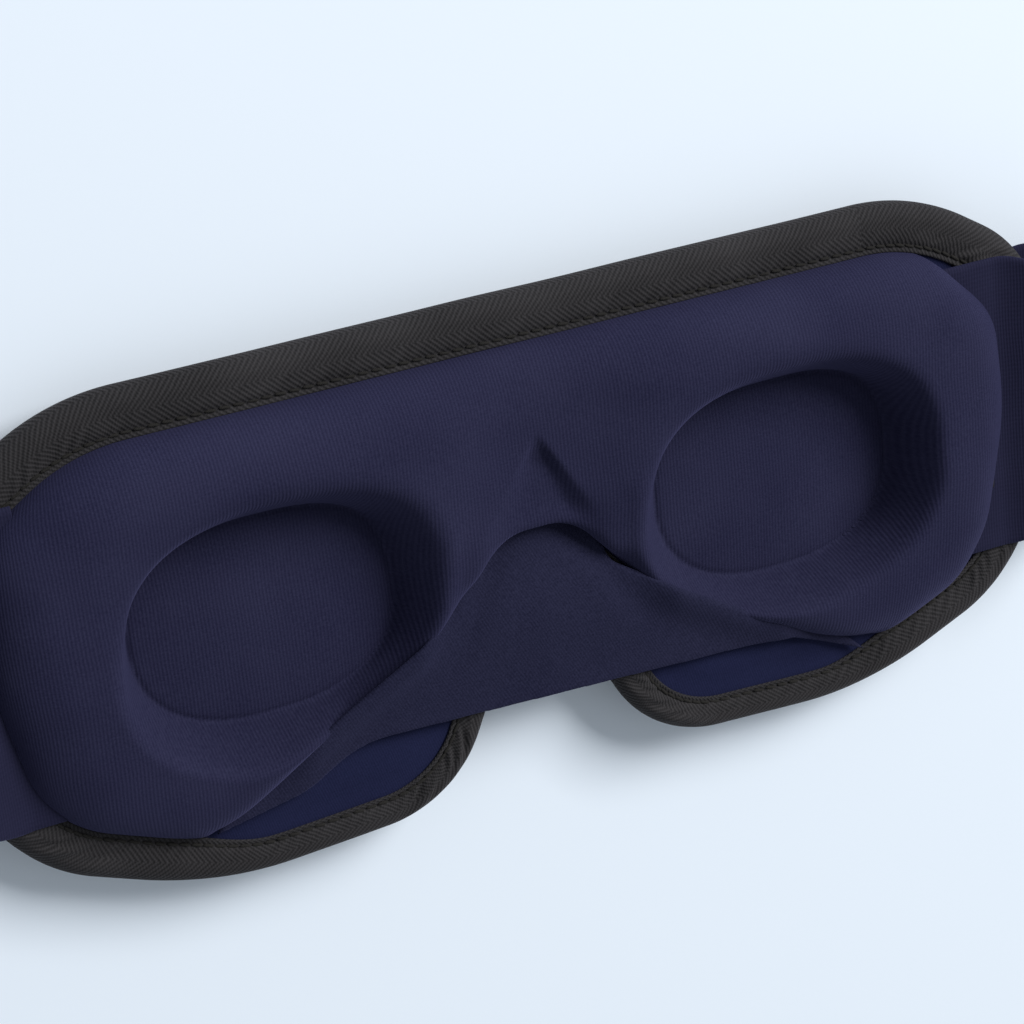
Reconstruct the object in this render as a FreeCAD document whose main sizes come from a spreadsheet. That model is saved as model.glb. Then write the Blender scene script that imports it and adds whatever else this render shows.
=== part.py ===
import FreeCAD, Part
import math
import os

# Contoured sleep mask, millimetres. +X runs along the mask, +Y to the brow edge, +Z to the wearer.
# The mask lies on its front, with both strap ends folded under it, so Z = 0 is the table.

DRIVING = {
    # bound front panel: four layers inside a folded tape
    "flange_bottom": 7.5,
    "cover_thickness": 0.8,
    "foam_thickness": 2.4,
    "blackout_thickness": 0.4,
    "facing_thickness": 0.6,
    "dome_depth": 4.5,
    "tape_thickness": 0.7,
    "tape_width": 9.2,
    "stitch_inset": 8.0,
    "stitch_width": 0.6,
    "stitch_height": 0.15,
    # contour pad and its eye cups
    "pad_gap": 0.2,
    "pad_base_height": 4.3,
    "pad_crown_height": 7.0,
    "pad_crown_taper": 38.0,
    "lining_thickness": 0.8,
    "cup_center_x": 52.5,
    "cup_center_y": -1.0,
    "cup_floor_half_length": 27.0,
    "cup_floor_half_height": 19.5,
    "cup_length_growth": 11.0,
    "cup_height_growth": 8.0,
    "cup_depth": 15.0,
    "nose_valley_base_y": 4.0,
    "nose_valley_apex_y": 23.0,
    "nose_valley_half_width": 8.5,
    "nose_valley_depth": 6.0,
    # straps
    "strap_thickness": 1.2,
    "strap_root_width": 60.0,
    "strap_bend_width": 53.0,
    "strap_center_y": 3.0,
    "strap_anchor_x": 98.0,
    "strap_rise_start_x": 102.0,
    "strap_rise": 6.25,
    "strap_rise_run": 13.0,
    "strap_seam_width": 3.0,
    "strap_seam_length": 34.0,
    "strap_slot_clearance": 0.1,
    "foot_clearance": 0.6,
    "band_tip_width": 36.0,
    "right_band_tip_x": 34.0,
    "left_band_tip_x": -8.0,
    "hook_tab_length": 30.0,
    "loop_patch_length": 78.0,
    "loop_patch_width": 30.0,
    "loop_patch_thickness": 1.3,
    "loop_patch_margin": 5.0,
    "hem_length": 7.0,
    "hem_thickness": 0.6,
    # nose flap
    "flap_bottom": 12.6,
    "flap_thickness": 1.4,
    "flap_gap": 0.6,
    "flap_split_x": 12.7,
    "flap_fold_y": -31.0,
}

# Corners of the right half of each outline, from the brow round to the nose: x, y, rounding radius.
PANEL_CORNERS = {
    "brow": (86.0, 48.5, 45.0),
    "temple": (112.5, 31.5, 26.0),
    "side": (114.5, 2.0, 70.0),
    "cheek": (108.5, -26.0, 30.0),
    "jaw": (98.0, -38.0, 30.0),
    "lobe": (69.0, -50.0, 68.0),
    "lobe_tip": (21.0, -47.6, 24.0),
    "notch_mouth": (11.8, -29.0, 14.0),
    "notch_top": (9.0, -10.0, 7.0),
}

# Corners of the region below the pad: the toe, the cusp beside the nose and the arch over it.
CUTAWAY_CORNERS = {
    "below": (85.0, -60.0, 0.0),
    "toe": (69.0, -39.2, 0.0),
    "cusp": (19.0, -12.5, 9.0),
    "arch": (9.0, 6.8, 8.0),
}

UPWARD = FreeCAD.Vector(0, 0, 1)
OVERCUT = 2.0

doc = FreeCAD.newDocument("sleep_mask")
sheet = doc.addObject("Spreadsheet::Sheet", "dims")
parts = {}


def fill_sheet():
    """Put every driving value in its own cell, with its name as alias."""
    cells = dict(DRIVING)
    for corners in (PANEL_CORNERS, CUTAWAY_CORNERS):
        for name, values in corners.items():
            for suffix, value in zip(("x", "y", "round"), values):
                cells[name + "_" + suffix] = value
    rise = DRIVING["strap_rise"]
    run = DRIVING["strap_rise_run"]
    cells["rise_angle"] = round(2.0 * math.degrees(math.atan(rise / run)), 6)
    cells["rise_radius"] = round(run / 2.0 / math.sin(math.radians(cells["rise_angle"])), 6)
    for row, (alias, value) in enumerate(cells.items(), start=1):
        sheet.set("A%d" % row, alias.replace("_", " "))
        sheet.set("B%d" % row, str(value))
        sheet.setAlias("B%d" % row, alias)
    doc.recompute()


def size(alias):
    return float(sheet.get(alias))


def dims(expression):
    """Write sheet names in an expression: {name} becomes the sheet's cell."""
    return expression.replace("{", "dims.").replace("}", "")


def bind(feature, **expressions):
    for prop, expression in expressions.items():
        feature.setExpression(prop, dims(expression))


def place(feature, x="0", y="0", z="0"):
    for axis, expression in zip("xyz", (x, y, z)):
        feature.setExpression("Placement.Base." + axis, dims(expression))


def rounded_wire(corners):
    """Closed wire through the corners, each one rounded with a tangent arc."""
    edges = []
    count = len(corners)
    starts, ends, arcs = [], [], []
    for index, (x, y, radius) in enumerate(corners):
        corner = FreeCAD.Vector(x, y, 0)
        before = FreeCAD.Vector(*corners[index - 1][:2], 0) - corner
        after = FreeCAD.Vector(*corners[(index + 1) % count][:2], 0) - corner
        before.normalize()
        after.normalize()
        half = before.getAngle(after) / 2.0
        if radius == 0.0:
            starts.append(corner)
            ends.append(corner)
            arcs.append(None)
            continue
        reach = radius / math.tan(half)
        inward = before + after
        inward.normalize()
        middle = corner + inward * (radius / math.sin(half) - radius)
        starts.append(corner + before * reach)
        ends.append(corner + after * reach)
        arcs.append(Part.Arc(starts[-1], middle, ends[-1]).toShape())
    for index in range(count):
        if arcs[index] is not None:
            edges.append(arcs[index])
        edges.append(Part.LineSegment(ends[index], starts[(index + 1) % count]).toShape())
    return Part.Wire(edges)


def mirrored_corners(corners):
    """Sheet values of the right half's corners, followed by their mirror images."""
    right = [tuple(size(name + suffix) for suffix in ("_x", "_y", "_round")) for name in corners]
    return right + [(-x, y, radius) for x, y, radius in reversed(right)]


def profile(name, wire):
    feature = doc.addObject("Part::Feature", name)
    feature.Shape = wire
    return feature


def inset(wire, distance):
    return wire.makeOffset2D(-distance, 0, False, False, False)


def prism(name, outline, bottom, height, taper="0"):
    """Solid between two heights above an outline, its walls leaning in by the taper angle."""
    feature = doc.addObject("Part::Extrusion", name)
    feature.Base = outline
    feature.DirMode = "Custom"
    feature.Dir = UPWARD
    feature.Solid = True
    feature.FaceMakerClass = "Part::FaceMakerBullseye"
    bind(feature, LengthFwd=height, TaperAngle=taper)
    place(feature, z=bottom)
    return feature


def block(name, x, y, z, length, width, height):
    """Box from its low corner, every value an expression."""
    feature = doc.addObject("Part::Box", name)
    bind(feature, Length=length, Width=width, Height=height)
    place(feature, x, y, z)
    return feature


def fuse(name, *shapes):
    feature = doc.addObject("Part::MultiFuse", name)
    feature.Shapes = list(shapes)
    return feature


def cut(name, base, tool):
    feature = doc.addObject("Part::Cut", name)
    feature.Base = base
    feature.Tool = tool
    return feature


def mirror(name, source):
    feature = doc.addObject("Part::Mirroring", name)
    feature.Source = source
    feature.Base = FreeCAD.Vector(0, 0, 0)
    feature.Normal = FreeCAD.Vector(1, 0, 0)
    return feature


def keep(node, feature):
    """Name a finished sub-part; its label is its file's name."""
    feature.Label = node
    parts[node] = feature
    return feature


def cup_frustum(name, bottom, height):
    """Flared elliptical hollow of the right eye, and its mirror image, as one shape."""
    rings = []
    for ring, level in (("floor", "0"), ("rim", height)):
        ellipse = doc.addObject("Part::Ellipse", name + "_" + ring)
        flare = "(%s) / {cup_depth}" % level
        bind(ellipse,
             MajorRadius="({cup_floor_half_length} + {cup_length_growth} * %s) * 1 mm" % flare,
             MinorRadius="({cup_floor_half_height} + {cup_height_growth} * %s) * 1 mm" % flare)
        place(ellipse, "{cup_center_x}", "{cup_center_y}", "(%s) + (%s)" % (bottom, level))
        rings.append(ellipse)
    loft = doc.addObject("Part::Loft", name + "_right")
    loft.Sections = rings
    loft.Solid = True
    loft.Ruled = True
    return fuse(name, loft, mirror(name + "_left", loft))


def curved_strip(name, x, z, radius, width, start, sweep):
    """Strap bent about the Y direction: part of a tube wall, swept clockwise from the start angle."""
    walls = []
    half = "{strap_thickness} / 2"
    for wall, wall_radius in (("outer", "(%s) + %s" % (radius, half)), ("inner", "(%s) - %s" % (radius, half))):
        cylinder = doc.addObject("Part::Cylinder", name + "_" + wall)
        lying = FreeCAD.Rotation(FreeCAD.Vector(1, 0, 0), -90)
        turned = FreeCAD.Rotation(FreeCAD.Vector(0, 1, 0), -start)
        cylinder.Placement = FreeCAD.Placement(FreeCAD.Vector(), turned.multiply(lying))
        bind(cylinder, Radius=wall_radius, Height=width, Angle=sweep)
        place(cylinder, x, "{strap_center_y} - (%s) / 2" % width, z)
        walls.append(cylinder)
    return cut(name, *walls)


def build_panel():
    """Front panel: cover, foam, blackout layer and facing, each moulded into two eye domes."""
    outline = rounded_wire(mirrored_corners(PANEL_CORNERS))
    bound = profile("panel_profile", inset(outline, size("tape_thickness")))
    bottom = "{flange_bottom}"
    layers = (("front_cover", "{cover_thickness}"), ("front_foam", "{foam_thickness}"),
              ("blackout_layer", "{blackout_thickness}"), ("inner_facing", "{facing_thickness}"))
    dome = cup_frustum("dome_0", bottom + " - {dome_depth}", "{dome_depth}")
    for number, (node, thickness) in enumerate(layers, start=1):
        sheet_slab = prism(node + "_slab", bound, bottom, thickness)
        bottom = bottom + " + " + thickness
        next_dome = cup_frustum("dome_%d" % number, bottom + " - {dome_depth}", "{dome_depth}")
        keep(node, cut(node, fuse(node + "_domed", sheet_slab, dome), next_dome))
        dome = next_dome
    return outline, bottom


def build_binding(outline, panel_top):
    """Folded tape round the panel's edge, and a stitch line near its inner edge on both faces."""
    outer = prism("tape_outer", profile("outline_profile", outline), "{flange_bottom} - {tape_thickness}",
                  "%s - {flange_bottom} + 2 * {tape_thickness}" % panel_top)
    gripped = prism("tape_gripped", doc.getObject("panel_profile"), "{flange_bottom}",
                    "%s - {flange_bottom}" % panel_top)
    inner_profile = profile("tape_inner_profile", inset(outline, size("tape_width")))
    window = prism("tape_window", inner_profile, "0", "%s + 10" % panel_top)
    keep("binding_tape", cut("binding_tape", cut("tape_solid", outer, window), gripped))
    stitch_outer = profile("stitch_outer", inset(outline, size("stitch_inset")))
    stitch_inner = profile("stitch_inner", inset(outline, size("stitch_inset") + size("stitch_width")))
    faces = (("binding_seam_inner", "%s + {tape_thickness}" % panel_top),
             ("binding_seam_outer", "{flange_bottom} - {tape_thickness} - {stitch_height}"))
    for node, bottom in faces:
        rim = prism(node + "_rim", stitch_outer, bottom, "{stitch_height}")
        field = prism(node + "_field", stitch_inner, bottom, "{stitch_height}")
        keep(node, cut(node, rim, field))


def pad_wire(outline, shrink):
    """Pad outline: inside the tape, with the nose arch and the lower corners cut away."""
    inside = Part.Face(inset(outline, size("tape_width") + size("pad_gap")))
    cutaway = Part.Face(rounded_wire(mirrored_corners(CUTAWAY_CORNERS)))
    wire = inside.cut(cutaway).Faces[0].OuterWire
    return inset(wire, shrink) if shrink else wire


def pad_block(name, wire, bottom, drop):
    """Upright base below a crown whose walls lean in."""
    outline = profile(name + "_profile", wire)
    crown_bottom = "%s + {pad_base_height}" % bottom
    base = prism(name + "_base", outline, bottom, "{pad_base_height}")
    crown = prism(name + "_crown", outline, crown_bottom, "{pad_crown_height} - %s" % drop, "-{pad_crown_taper}")
    return fuse(name, base, crown)


def nose_valley(name, lift):
    """Wedge-shaped recess above the nose arch."""
    wedge = doc.addObject("Part::Wedge", name)
    depth = "{nose_valley_depth} + %g" % OVERCUT
    bind(wedge, Xmin="-{nose_valley_half_width}", Xmax="{nose_valley_half_width}",
         X2min="-0.5", X2max="0.5", Ymin="{nose_valley_base_y}", Ymax="{nose_valley_apex_y}",
         Zmin="0", Zmax=depth, Z2min="0", Z2max=depth)
    top = "{flange_bottom} + {cover_thickness} + {foam_thickness} + {blackout_thickness} + {facing_thickness}"
    place(wedge, z="%s + {pad_base_height} + {pad_crown_height} - {nose_valley_depth} %s" % (top, lift))
    return wedge


def build_pad(outline, panel_top):
    """Contour pad: a foam ring with two eye openings, and the knit lining moulded over it."""
    lining = "{lining_thickness}"
    skin = pad_block("pad_skin", pad_wire(outline, 0.0), panel_top, "0")
    core = pad_block("pad_core", pad_wire(outline, size("lining_thickness")), panel_top, lining)
    cup_bottom = "%s - {dome_depth}" % panel_top
    foam_cups = cup_frustum("foam_cups", cup_bottom, "{cup_depth} + %g" % OVERCUT)
    lining_cups = cup_frustum("lining_cups", "%s + %s" % (cup_bottom, lining), "{cup_depth} + %g" % OVERCUT)
    sunk = cup_frustum("sunk_cups", cup_bottom, "{dome_depth}")
    slot = block("strap_slot_right", "{strap_anchor_x} - {strap_slot_clearance}",
                 "{strap_center_y} - {strap_root_width} / 2 - {strap_slot_clearance}", panel_top,
                 "20", "{strap_root_width} + 2 * {strap_slot_clearance}",
                 "{tape_thickness} + {stitch_height} + {strap_thickness} + {foot_clearance}")
    slots = fuse("strap_slots", slot, mirror("strap_slot_left", slot))
    hollow = fuse("foam_hollow", foam_cups, nose_valley("foam_valley", "- " + lining), slots)
    foam = keep("contour_foam", cut("contour_foam", core, hollow))
    shell = cut("lining_shell", fuse("lining_block", skin, sunk), foam)
    lining_hollow = fuse("lining_hollow", lining_cups, nose_valley("lining_valley", ""), slots)
    keep("contour_lining", cut("contour_lining", shell, lining_hollow))


def build_strap_roots(panel_top):
    """Strap ends sewn under the pad's ends; they arch up over the tape on their way out."""
    root_bottom = "%s + {tape_thickness} + {stitch_height}" % panel_top
    low_y = "{strap_center_y} - {strap_root_width} / 2"
    flat = block("root_flat", "{strap_anchor_x}", low_y, root_bottom,
                 "{strap_rise_start_x} - {strap_anchor_x}", "{strap_root_width}", "{strap_thickness}")
    middle = "%s + {strap_thickness} / 2" % root_bottom
    angle = size("rise_angle")
    foot = curved_strip("root_foot", "{strap_rise_start_x}", middle + " + {rise_radius}", "{rise_radius}",
                        "{strap_root_width}", -90.0 + angle, "{rise_angle}")
    brow = curved_strip("root_shoulder", "{strap_rise_start_x} + {strap_rise_run}",
                        middle + " + {strap_rise} - {rise_radius}", "{rise_radius}",
                        "{strap_root_width}", 90.0 + angle, "{rise_angle}")
    root = keep("strap_root_right", fuse("strap_root_right", flat, foot, brow))
    keep("strap_root_left", mirror("strap_root_left", root))
    seam = block("strap_seam_right", "{strap_anchor_x}", "{strap_center_y} - {strap_seam_length} / 2", panel_top,
                 "{strap_seam_width}", "{strap_seam_length}", "{tape_thickness} + {stitch_height}")
    keep("strap_seam_right", seam)
    keep("strap_seam_left", mirror("strap_seam_left", seam))
    return middle + " + {strap_rise}"


def tapered_band(name, side, root_width, tip_width, start_x, tip_x):
    """Flat strap on the table, narrowing from its bend to its tip."""
    band = doc.addObject("Part::Wedge", name)
    band.Placement.Rotation = FreeCAD.Rotation(FreeCAD.Vector(0, 0, 1), 90 * side)
    bind(band, Xmin="-(%s) / 2" % root_width, Xmax="(%s) / 2" % root_width,
         X2min="-(%s) / 2" % tip_width, X2max="(%s) / 2" % tip_width,
         Ymin="0", Ymax="abs((%s) - (%s))" % (start_x, tip_x),
         Zmin="0", Zmax="{strap_thickness}", Z2min="0", Z2max="{strap_thickness}")
    place(band, start_x, "{strap_center_y}", "0")
    return band


def build_straps(bend_top):
    """Both straps: a U bend, a band on the table, and the hook tab or loop patch that closes them."""
    bend_x = "{strap_rise_start_x} + {strap_rise_run}"
    radius = "(%s - {strap_thickness} / 2) / 2" % bend_top
    bend = curved_strip("strap_bend_right", bend_x, radius + " + {strap_thickness} / 2", radius,
                        "{strap_bend_width}", 90.0, "180")
    keep("strap_bend_right", bend)
    keep("strap_bend_left", mirror("strap_bend_left", bend))
    keep("strap_band_right", tapered_band("strap_band_right", 1, "{strap_bend_width}", "{band_tip_width}",
                                          bend_x, "{right_band_tip_x}"))
    keep("strap_band_left", tapered_band("strap_band_left", -1, "{strap_bend_width}", "{band_tip_width}",
                                         "-(%s)" % bend_x, "{left_band_tip_x}"))
    half_tab = "{band_tip_width} / 2 - 1"
    keep("hook_tab", block("hook_tab", "{right_band_tip_x} - {hook_tab_length}", "{strap_center_y} - (%s)" % half_tab,
                           "0", "{hook_tab_length}", "2 * (%s)" % half_tab, "{strap_thickness}"))
    keep("hook_tab_seam", block("hook_tab_seam", "{right_band_tip_x}", "{strap_center_y} - (%s)" % half_tab,
                                "{strap_thickness}", "{hem_length}", "2 * (%s)" % half_tab, "{hem_thickness}"))
    patch_end = "{left_band_tip_x} - {hem_length} - {loop_patch_margin}"
    patch_start = patch_end + " - {loop_patch_length}"
    patch = block("loop_patch", patch_start, "{strap_center_y} - {loop_patch_width} / 2", "{strap_thickness}",
                  "{loop_patch_length}", "{loop_patch_width}", "{loop_patch_thickness}")
    keep("loop_patch", patch)
    keep("strap_end_hem", block("strap_end_hem", "{left_band_tip_x} - {hem_length}",
                                "{strap_center_y} - (%s)" % half_tab, "{strap_thickness}",
                                "{hem_length}", "2 * (%s)" % half_tab, "{hem_thickness}"))


def build_nose_flap():
    """Folded flap over the notch: a free middle, and two wings sewn down on the lobes."""
    split, fold, gap = size("flap_split_x"), size("flap_fold_y"), size("flap_gap")
    toe_x, toe_y = size("toe_x"), size("toe_y")
    cusp_x, cusp_y = size("cusp_x"), size("cusp_y")
    arch_x, arch_y = size("arch_x"), size("arch_y")
    middle = [(arch_x / 2, arch_y / 2), (arch_x, arch_y / 2 - 6.5), (split, cusp_y + 1.0), (split, fold)]
    outline = middle + [(-x, y) for x, y in reversed(middle)]
    free = prism("nose_flap", profile("flap_profile", rounded_wire([(x, y, 0.0) for x, y in outline])),
                 "{flap_bottom}", "{flap_thickness}")
    keep("nose_flap", free)
    wing_x = split + gap
    slope = (toe_y - cusp_y) / (toe_x - cusp_x)
    tip_x = toe_x - 5.0
    corners = [(wing_x, cusp_y - 2 * gap), (cusp_x, cusp_y - 2 * gap),
               (tip_x, cusp_y + slope * (tip_x - cusp_x) - 2 * gap), (tip_x - 14.0, fold - 2.0), (wing_x, fold)]
    wing = prism("flap_wing_right", profile("wing_profile", rounded_wire([(x, y, 0.0) for x, y in corners])),
                 "{flap_bottom}", "{flap_thickness}")
    keep("flap_wing_right", wing)
    keep("flap_wing_left", mirror("flap_wing_left", wing))


def check_and_export():
    doc.recompute()
    for feature in doc.Objects:
        if "Invalid" in feature.State or "Error" in feature.State:
            raise RuntimeError("%s failed: %s" % (feature.Label, feature.State))
    os.makedirs("parts", exist_ok=True)
    for node, feature in parts.items():
        shape = feature.Shape
        if shape.isNull() or not shape.isValid() or not shape.Solids:
            raise RuntimeError(node + " is not a valid solid")
        box = shape.BoundBox
        print("%-20s %2d solid %9.1f mm3  x %.1f..%.1f y %.1f..%.1f z %.2f..%.2f" % (
            node, len(shape.Solids), shape.Volume, box.XMin, box.XMax, box.YMin, box.YMax, box.ZMin, box.ZMax))
        shape.exportStep(os.path.join("parts", node + ".step"))


fill_sheet()
panel_outline, panel_top_level = build_panel()
build_binding(panel_outline, panel_top_level)
build_pad(panel_outline, panel_top_level)
build_straps(build_strap_roots(panel_top_level))
build_nose_flap()
check_and_export()
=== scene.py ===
import math

import bmesh
import bpy
import numpy as np
from mathutils import Matrix, Vector


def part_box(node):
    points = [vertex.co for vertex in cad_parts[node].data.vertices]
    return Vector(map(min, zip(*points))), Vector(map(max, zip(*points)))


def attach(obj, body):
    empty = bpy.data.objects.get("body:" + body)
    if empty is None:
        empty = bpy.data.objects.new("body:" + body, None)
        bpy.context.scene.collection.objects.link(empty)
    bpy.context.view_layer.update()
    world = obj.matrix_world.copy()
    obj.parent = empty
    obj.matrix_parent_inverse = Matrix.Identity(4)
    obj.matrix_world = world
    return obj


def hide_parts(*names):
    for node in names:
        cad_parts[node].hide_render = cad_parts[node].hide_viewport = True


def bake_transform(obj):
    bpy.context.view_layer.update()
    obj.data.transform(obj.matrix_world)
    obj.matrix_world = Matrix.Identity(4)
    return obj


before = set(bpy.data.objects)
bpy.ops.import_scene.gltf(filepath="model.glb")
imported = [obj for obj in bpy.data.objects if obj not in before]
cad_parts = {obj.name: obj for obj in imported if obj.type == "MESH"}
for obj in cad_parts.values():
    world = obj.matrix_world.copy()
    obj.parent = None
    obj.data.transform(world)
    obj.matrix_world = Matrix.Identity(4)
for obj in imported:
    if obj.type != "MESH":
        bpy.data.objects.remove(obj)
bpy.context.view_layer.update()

# Contoured sleep mask, wearer's side up. Lengths here are millimetres and become metres in each mesh.
# +X runs along the mask, +Y to the brow, +Z to the wearer, and the table is at Z = 0.

MM = 0.001


def cad(node):
    """Low and high corners of a CAD node, in millimetres."""
    low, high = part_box(node)
    return low / MM, high / MM


# Right half of the panel's outline, and the whole region below the pad: x, y, rounding radius.
PANEL_CORNERS = ((86.0, 48.5, 45.0), (112.5, 31.5, 26.0), (114.5, 2.0, 70.0), (108.5, -26.0, 30.0),
                 (98.0, -38.0, 30.0), (69.0, -50.0, 68.0), (21.0, -47.6, 24.0), (11.8, -29.0, 14.0),
                 (9.0, -10.0, 7.0))
CUTAWAY_CORNERS = ((85.0, -62.0, 0.0), (69.0, -40.0, 0.0), (42.0, -27.2, 40.0), (12.0, -8.0, 7.0),
                   (8.5, 4.6, 9.5), (-8.5, 4.6, 9.5), (-16.0, -8.5, 9.0), (-69.0, -39.2, 0.0),
                   (-85.0, -62.0, 0.0))

# Nose flap: its lower edge with the sewn tips and the ends of its fold, and a wide region above that edge.
FLAP_CORNERS = ((67.0, -40.0, 0.0), (50.5, -32.4, 3.0), (-39.0, -28.4, 22.0), (-50.0, -34.6, 16.0),
                (-68.5, -38.2, 0.0), (-62.0, -28.0, 4.0), (-60.0, 20.0, 0.0), (60.0, 20.0, 0.0),
                (56.5, -29.0, 4.0))
FLAP_THICKNESS = 1.1
FLAP_TUCK = 2.4  # under the pad's margin

TAPE_LOW, TAPE_HIGH = cad("binding_tape")
TAPE_MIDDLE_Z = (TAPE_LOW.z + TAPE_HIGH.z) / 2
TAPE_HALF = (TAPE_HIGH.z - TAPE_LOW.z) / 2
TAPE_WIDTH = 9.2
TAPE_THICKNESS = 0.7
TAPE_FOLD = 3.0  # how far in the folded edge is round
STITCH_INSET = 8.0
STITCH_PITCH = 2.6
STITCH_SINK = 0.12
STITCH_SLANT = 0.12

# CAD node, visual piece, material slot and mesh step of each layer, from the front to the wearer's side.
LAYERS = (("front_cover", "cover_sheet", "cover_knit", 0.9),
          ("front_foam", "foam_sheet", "foam", 1.3),
          ("blackout_layer", "blackout_sheet", "blackout_film", 1.3),
          ("inner_facing", "facing_sheet", "facing_jersey", 0.9))
LAYER_GAP = 0.03
LAYER_INSET = 2.6
PANEL_TOP = cad("inner_facing")[1].z

CUP_CENTRE = (52.5, -1.0)
CUP_HALF = (25.4, 19.3)
CUP_POWER_BROW, CUP_POWER_CHEEK = 2.8, 2.35
CUP_FLOOR = cad("contour_lining")[0].z + 0.9
CUP_WALL_NOSE, CUP_WALL_TEMPLE, CUP_WALL_BROW, CUP_WALL_CHEEK = 14.0, 7.0, 12.0, 9.5
PAD_CREST = cad("contour_lining")[1].z - 0.5
PAD_INSET = TAPE_WIDTH + 0.15
ARCH_CREST = 18.3
ARCH_BASE = 15.4
HOLLOW_TOP_Y = 24.0
HOLLOW_HALF_WIDTH = 8.5
HOLLOW_DEPTH = 2.1

HUMP_X = cad("strap_root_right")[1].x
HUMP_Z = cad("strap_root_right")[1].z - 0.6
BAND_Z = 0.7
STRAP_Y = 3.0
STRAP_THICKNESS = 1.4
STRAP_TIP_WIDTH = 36.0
CURL_PITCH = 1.5

FLOOR_HALF = 3.0  # metres, as are the other sizes of the stage
KEY_PLACE = (1.29, 1.29, 1.55)
KEY_WIDTH = 1.10
KEY_POWER = 60.0
ROOM_COLOUR = (0.88, 0.94, 1.0, 1)
ROOM_POWER = 0.40
LENS_MM = 103.4
CAMERA_ANGLES = (-136.3, 59.2, 125.45)  # azimuth, elevation and roll in degrees
CAMERA_DISTANCE = 0.5413
CAMERA_TARGET = Vector((-2.6, 6.25, TAPE_MIDDLE_Z)) * MM

RNG = np.random.default_rng(11)


# ---------------------------------------------------------------- curves and fields

def unit(vector):
    return vector / np.linalg.norm(vector)


def mirrored(corners):
    """Corners of the right half, and then their mirror images back to the start."""
    return list(corners) + [(-x, y, radius) for x, y, radius in reversed(corners)]


def rounded_loop(corners, step=0.8):
    """Closed polygon through the corners, each one rounded with a tangent arc."""
    points = []
    for index, (x, y, radius) in enumerate(corners):
        corner = np.array((x, y))
        before = unit(np.array(corners[index - 1][:2]) - corner)
        after = unit(np.array(corners[(index + 1) % len(corners)][:2]) - corner)
        if radius == 0.0:
            points.append(corner)
            continue
        half = math.acos(np.clip(before @ after, -1.0, 1.0)) / 2
        centre = corner + unit(before + after) * radius / math.sin(half)
        spoke = corner + before * radius / math.tan(half) - centre
        turn = math.copysign(math.pi - 2 * half, after[0] * before[1] - after[1] * before[0])
        for angle in np.linspace(0.0, turn, max(3, int(abs(turn) * radius / step))):
            c, s = math.cos(angle), math.sin(angle)
            points.append(centre + (spoke[0] * c - spoke[1] * s, spoke[0] * s + spoke[1] * c))
    return np.array(points)


def depth_inside(loop, x, y):
    """Distance inside a closed polygon, negative outside it."""
    nearest = np.full(x.shape, 1e9)
    inside = np.zeros(x.shape, bool)
    for (ax, ay), (bx, by) in zip(loop, np.roll(loop, -1, axis=0)):
        dx, dy = bx - ax, by - ay
        share = np.clip(((x - ax) * dx + (y - ay) * dy) / max(dx * dx + dy * dy, 1e-12), 0, 1)
        nearest = np.minimum(nearest, (x - ax - share * dx) ** 2 + (y - ay - share * dy) ** 2)
        if ay != by:
            inside ^= ((ay > y) != (by > y)) & (x < dx * (y - ay) / dy + ax)
    return np.where(inside, 1, -1) * np.sqrt(nearest)


def ramp(value, low, high):
    """Smooth 0 to 1 as value goes from low to high."""
    share = np.clip((value - low) / (high - low), 0, 1)
    return share * share * (3 - 2 * share)


def bell(value, width, centre=0.0):
    """1 at the centre, falling off smoothly over about one width on either side."""
    return np.exp(-((value - centre) / width) ** 2)


def mix(a, b, share):
    return a + (b - a) * share


def soft_min(a, b, width):
    """The lower of two values, with the change from one to the other rounded over the width."""
    share = np.clip(0.5 + 0.5 * (b - a) / width, 0, 1)
    return mix(b, a, share) - width * share * (1 - share)


def ripples(x, y, pitch, seed):
    """Smooth, repeatable unevenness of about one unit, with features about one pitch across."""
    waves = np.random.default_rng(seed)
    total = np.zeros(np.shape(x))
    for _ in range(9):
        angle, phase = waves.uniform(0, 2 * math.pi, 2)
        rate = 2 * math.pi / (pitch * waves.uniform(0.7, 1.8))
        total = total + np.sin(rate * (x * math.cos(angle) + y * math.sin(angle)) + phase)
    return total / 3.0


def cup_reach(x, y):
    """Distance outside the eye cup's floor, negative inside, and the share of the way out from its centre."""
    dx = np.abs(x) - CUP_CENTRE[0]
    dy = y - CUP_CENTRE[1]
    power = np.where(dy > 0, CUP_POWER_BROW, CUP_POWER_CHEEK)
    rho = ((np.abs(dx) / CUP_HALF[0]) ** power + (np.abs(dy) / CUP_HALF[1]) ** power) ** (1 / power)
    radius = np.hypot(dx, dy) / np.maximum(rho, 1e-6)
    return (rho - 1) * radius, rho


PANEL_LOOP = rounded_loop(mirrored(PANEL_CORNERS))
PANEL_SPAN = (-116.0, 116.0, -51.0, 51.0)
CUTAWAY_LOOP = rounded_loop(CUTAWAY_CORNERS)
FLAP_LOOP = rounded_loop(FLAP_CORNERS)


# ---------------------------------------------------------------- meshes

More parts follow.
